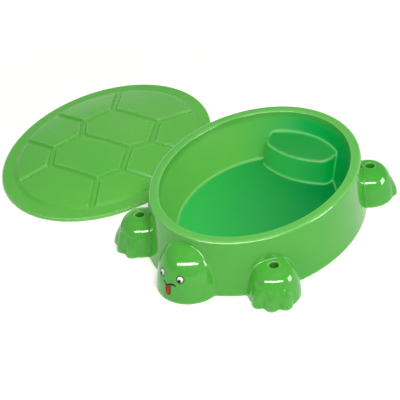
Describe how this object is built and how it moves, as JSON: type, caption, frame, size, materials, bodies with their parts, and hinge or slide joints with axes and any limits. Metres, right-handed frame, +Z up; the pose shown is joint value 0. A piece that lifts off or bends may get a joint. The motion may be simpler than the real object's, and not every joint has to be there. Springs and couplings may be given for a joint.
{
  "type": "turtle sandbox with cover",
  "caption": "Low oval plastic sandbox shaped like a turtle, with a domed head, toed feet, a moulded seat, and a loose shell-patterned cover lying beside it.",
  "frame": {"origin": "on the ground under the middle of the set's outline, seen from above; the tub stands on the +X side and its cover lies on the -X side", "axes": "+Z up; the turtle's head looks along -Y and the seat is at the +Y end of the basin; +X from the cover towards the tub"},
  "size_m": [1.398, 1.0385, 0.199],
  "materials": {
    "tub_plastic": "glossy",
    "cover_plastic": "glossy",
    "sticker_white": "glossy printed film",
    "sticker_red": "glossy printed film"
  },
  "bodies": {
    "tub": {"tub": "tub_plastic", "left_eye_sticker": "sticker_white", "right_eye_sticker": "sticker_white", "mouth_sticker": "sticker_red"},
    "cover": {"cover": "cover_plastic"}
  },
  "joints": [
    {"name": "cover_lift", "type": "slide", "parent": "tub", "child": "cover", "axis": [0, 0, 1], "range_m": [0, 0.35]}
  ]
}
